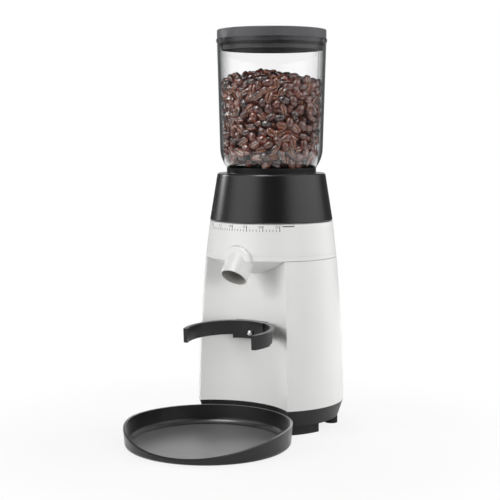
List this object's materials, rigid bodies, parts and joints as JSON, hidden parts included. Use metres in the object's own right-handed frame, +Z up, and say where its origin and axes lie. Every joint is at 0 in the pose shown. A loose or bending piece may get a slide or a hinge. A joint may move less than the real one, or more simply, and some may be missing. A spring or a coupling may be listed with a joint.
{
  "type": "burr coffee grinder",
  "caption": "Upright conical burr coffee grinder with a clear bean hopper, turning grind collar, sloping outlet chute, filter holder cradle with start button, and a round tray.",
  "frame": {"origin": "on the table under the middle of the grinder and its tray", "axes": "+Z up along the burr axis, -Y towards the front, where the chute, cradle and tray are"},
  "size_m": [0.1595, 0.2661, 0.3929],
  "materials": {
    "white_abs": "satin moulded",
    "black_abs": "satin moulded",
    "lid_plastic": "satin moulded",
    "clear_hopper": "clear moulded",
    "rubber": "matt",
    "button_chrome": "polished",
    "tool_steel": "ground",
    "plated_steel": "zinc plated",
    "die_cast": "cast",
    "bronze": "sintered",
    "nylon": "moulded",
    "magnet": "sintered",
    "circuit_board": "solder mask",
    "component_plastic": "moulded",
    "carbon": "pressed"
  },
  "bodies": {
    "body": {"carrier_spring": "plated_steel", "upper_bush": "bronze", "lower_bush": "bronze", "shaft_seal": "rubber", "grind_chamber": "die_cast", "chamber_screws": "plated_steel", "chute": "white_abs", "chute_screws": "plated_steel", "head_shell": "white_abs", "chassis_plate": "plated_steel", "chassis_posts": "plated_steel", "chassis_screws": "plated_steel", "front_panel": "white_abs", "rear_shell": "white_abs", "base_pan": "black_abs", "base_screws": "plated_steel", "feet": "rubber", "cradle": "black_abs", "cradle_screws": "plated_steel", "button_bezel": "black_abs", "button_spring": "plated_steel", "switch_bracket": "plated_steel", "microswitch": "component_plastic", "gear_case": "die_cast", "gear_cover": "die_cast", "case_screws": "plated_steel", "idler_pin": "tool_steel", "motor_can": "plated_steel", "motor_end_cap": "die_cast", "motor_screws": "plated_steel", "motor_magnets": "magnet", "motor_brushes": "carbon", "control_board": "circuit_board", "board_components": "component_plastic", "board_screws": "plated_steel", "switch_housing": "black_abs", "cord_gland": "rubber"},
    "collar": {"grind_collar": "black_abs"},
    "carrier": {"burr_carrier": "die_cast", "ring_burr": "tool_steel"},
    "hopper": {"hopper": "clear_hopper", "hopper_base": "black_abs"},
    "lid": {"lid": "lid_plastic", "lid_seal": "rubber"},
    "button": {"start_button": "button_chrome"},
    "rocker": {"rocker": "black_abs"},
    "tray": {"tray": "black_abs"},
    "burr_drive": {"drive_shaft": "tool_steel", "cone_burr": "tool_steel", "burr_nut": "plated_steel", "impeller": "nylon", "output_gear": "tool_steel"},
    "idler": {"idler_gear": "tool_steel"},
    "rotor": {"motor_shaft": "tool_steel", "motor_pinion": "tool_steel", "motor_armature": "tool_steel"}
  },
  "joints": [
    {"name": "grind_setting", "type": "hinge", "parent": "body", "child": "collar", "pos_m": [0, 0.0594, 0.2054], "axis": [0, 0, 1], "range_deg": [-37.5, 37.5]},
    {"name": "burr_lift", "type": "slide", "parent": "body", "child": "carrier", "axis": [0, 0, 1], "range_m": [-0.0006, 0.0006], "deforming": ["carrier_spring"]},
    {"name": "hopper_lift", "type": "slide", "parent": "collar", "child": "hopper", "axis": [0, 0, 1], "range_m": [0, 0.09]},
    {"name": "lid_lift", "type": "slide", "parent": "hopper", "child": "lid", "axis": [0, 0, 1], "range_m": [0, 0.06]},
    {"name": "start_press", "type": "slide", "parent": "body", "child": "button", "axis": [0, 1, 0], "range_m": [0, 0.003], "stiffness_N_per_m": 300, "deforming": ["button_spring"]},
    {"name": "rocker_tilt", "type": "hinge", "parent": "body", "child": "rocker", "pos_m": [0, 0.12644, 0.052], "axis": [1, 0, 0], "range_deg": [-24, 0]},
    {"name": "tray_pull", "type": "slide", "parent": "body", "child": "tray", "axis": [0, -1, 0], "range_m": [0, 0.12]},
    {"name": "burr_spin", "type": "hinge", "parent": "body", "child": "burr_drive", "pos_m": [0, 0.0594, 0.2042], "axis": [0, 0, 1], "continuous": true},
    {"name": "idler_spin", "type": "hinge", "parent": "body", "child": "idler", "pos_m": [0.02565, 0.07496, 0.1437], "axis": [0, 0, 1], "continuous": true},
    {"name": "rotor_spin", "type": "hinge", "parent": "body", "child": "rotor", "pos_m": [0, 0.0834, 0.1392], "axis": [0, 0, 1], "continuous": true}
  ],
  "couplings": [
    {"joint": "burr_lift", "follows": "grind_setting", "m_per_rad": 0.0009167},
    {"joint": "idler_spin", "follows": "burr_spin", "ratio": -3},
    {"joint": "rotor_spin", "follows": "burr_spin", "ratio": 10.5}
  ]
}
